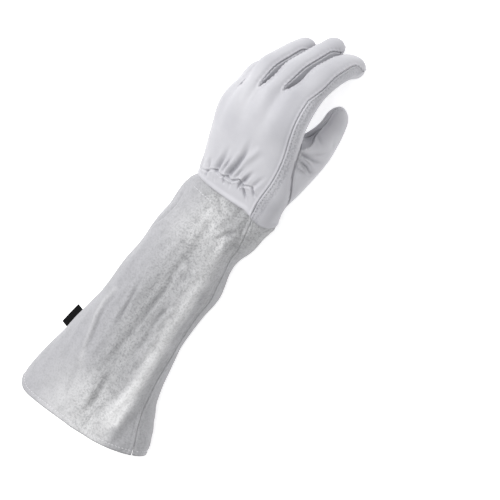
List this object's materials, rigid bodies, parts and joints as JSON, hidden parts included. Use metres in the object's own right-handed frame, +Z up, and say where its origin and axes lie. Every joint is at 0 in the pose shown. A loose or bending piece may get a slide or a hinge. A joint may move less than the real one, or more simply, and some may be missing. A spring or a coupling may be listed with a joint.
{
  "type": "leather gauntlet glove",
  "caption": "Left-hand gauntlet glove of smooth leather with gently curled fingers, gathers over the wrist and a long flared suede cuff, lying palm down.",
  "frame": {"origin": "centre of the bounding box in plan, on the floor that the glove lies on", "axes": "+X to the thumb side, +Y from the cuff's opening to the fingertips, +Z up out of the back of the hand"},
  "size_m": [0.1453, 0.4426, 0.0804],
  "materials": {
    "grain_leather": "smooth grain leather, off-white, slightly glossy",
    "suede": "rough split suede, light grey, matt and mottled",
    "woven_tab": "woven black tape, bare"
  },
  "bodies": {
    "root": {"back_panel": "grain_leather", "palm_panel": "grain_leather", "middle_front": "grain_leather", "ring_front": "grain_leather", "fourchette_index_middle": "grain_leather", "fourchette_middle_ring": "grain_leather", "fourchette_ring_little": "grain_leather", "thumb_back": "grain_leather", "thumb_front": "grain_leather", "cuff_back": "suede", "cuff_palm": "suede", "label_tab": "woven_tab"}
  },
  "joints": []
}
